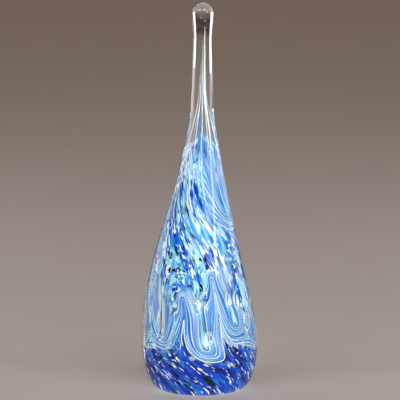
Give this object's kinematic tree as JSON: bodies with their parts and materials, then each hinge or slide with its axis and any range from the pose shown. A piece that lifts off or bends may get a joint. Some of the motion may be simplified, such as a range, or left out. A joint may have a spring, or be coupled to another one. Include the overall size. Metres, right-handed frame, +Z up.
{
  "type": "glass ring holder",
  "caption": "Solid hand-blown glass cone with a long neck and rounded tip; rings drop over the neck. Clear casing over a core of swirled blue, aqua and white glass.",
  "frame": {"origin": "middle of the ground foot, on the surface it stands on", "axes": "+Z up the neck, +X to the right seen from the front, the front towards -Y"},
  "size_m": [0.045, 0.045, 0.15],
  "materials": {
    "clear_glass": "clear, fire-polished; foot ground flat",
    "sky_blue_glass": "opaque coloured frit melted together, glossy",
    "pale_blue_glass": "milky, glossy",
    "cobalt_glass": "opaque deep blue, glossy",
    "white_glass": "opaque white, glossy",
    "dark_green_glass": "opaque near-black green, glossy"
  },
  "bodies": {
    "root": {"clear_casing": "clear_glass", "colour_layer": "sky_blue_glass", "inner_gather": "pale_blue_glass", "blue_thread": "cobalt_glass", "white_thread": "white_glass", "white_loop_1": "white_glass", "white_loop_2": "white_glass", "white_loop_3": "white_glass", "white_loop_4": "white_glass", "white_loop_5": "white_glass", "white_loop_6": "white_glass", "white_loop_7": "white_glass", "white_chip_1": "white_glass", "white_chip_2": "white_glass", "white_chip_3": "white_glass", "white_chip_4": "white_glass", "white_chip_5": "white_glass", "white_chip_6": "white_glass", "white_chip_7": "white_glass", "white_chip_8": "white_glass", "white_chip_9": "white_glass", "white_chip_10": "white_glass", "green_chip_1": "dark_green_glass", "green_chip_2": "dark_green_glass", "green_chip_3": "dark_green_glass", "green_chip_4": "dark_green_glass", "green_chip_5": "dark_green_glass", "green_chip_6": "dark_green_glass", "green_chip_7": "dark_green_glass", "cobalt_chip_1": "cobalt_glass", "cobalt_chip_2": "cobalt_glass", "cobalt_chip_3": "cobalt_glass", "cobalt_chip_4": "cobalt_glass", "cobalt_chip_5": "cobalt_glass", "cobalt_chip_6": "cobalt_glass"}
  },
  "joints": []
}
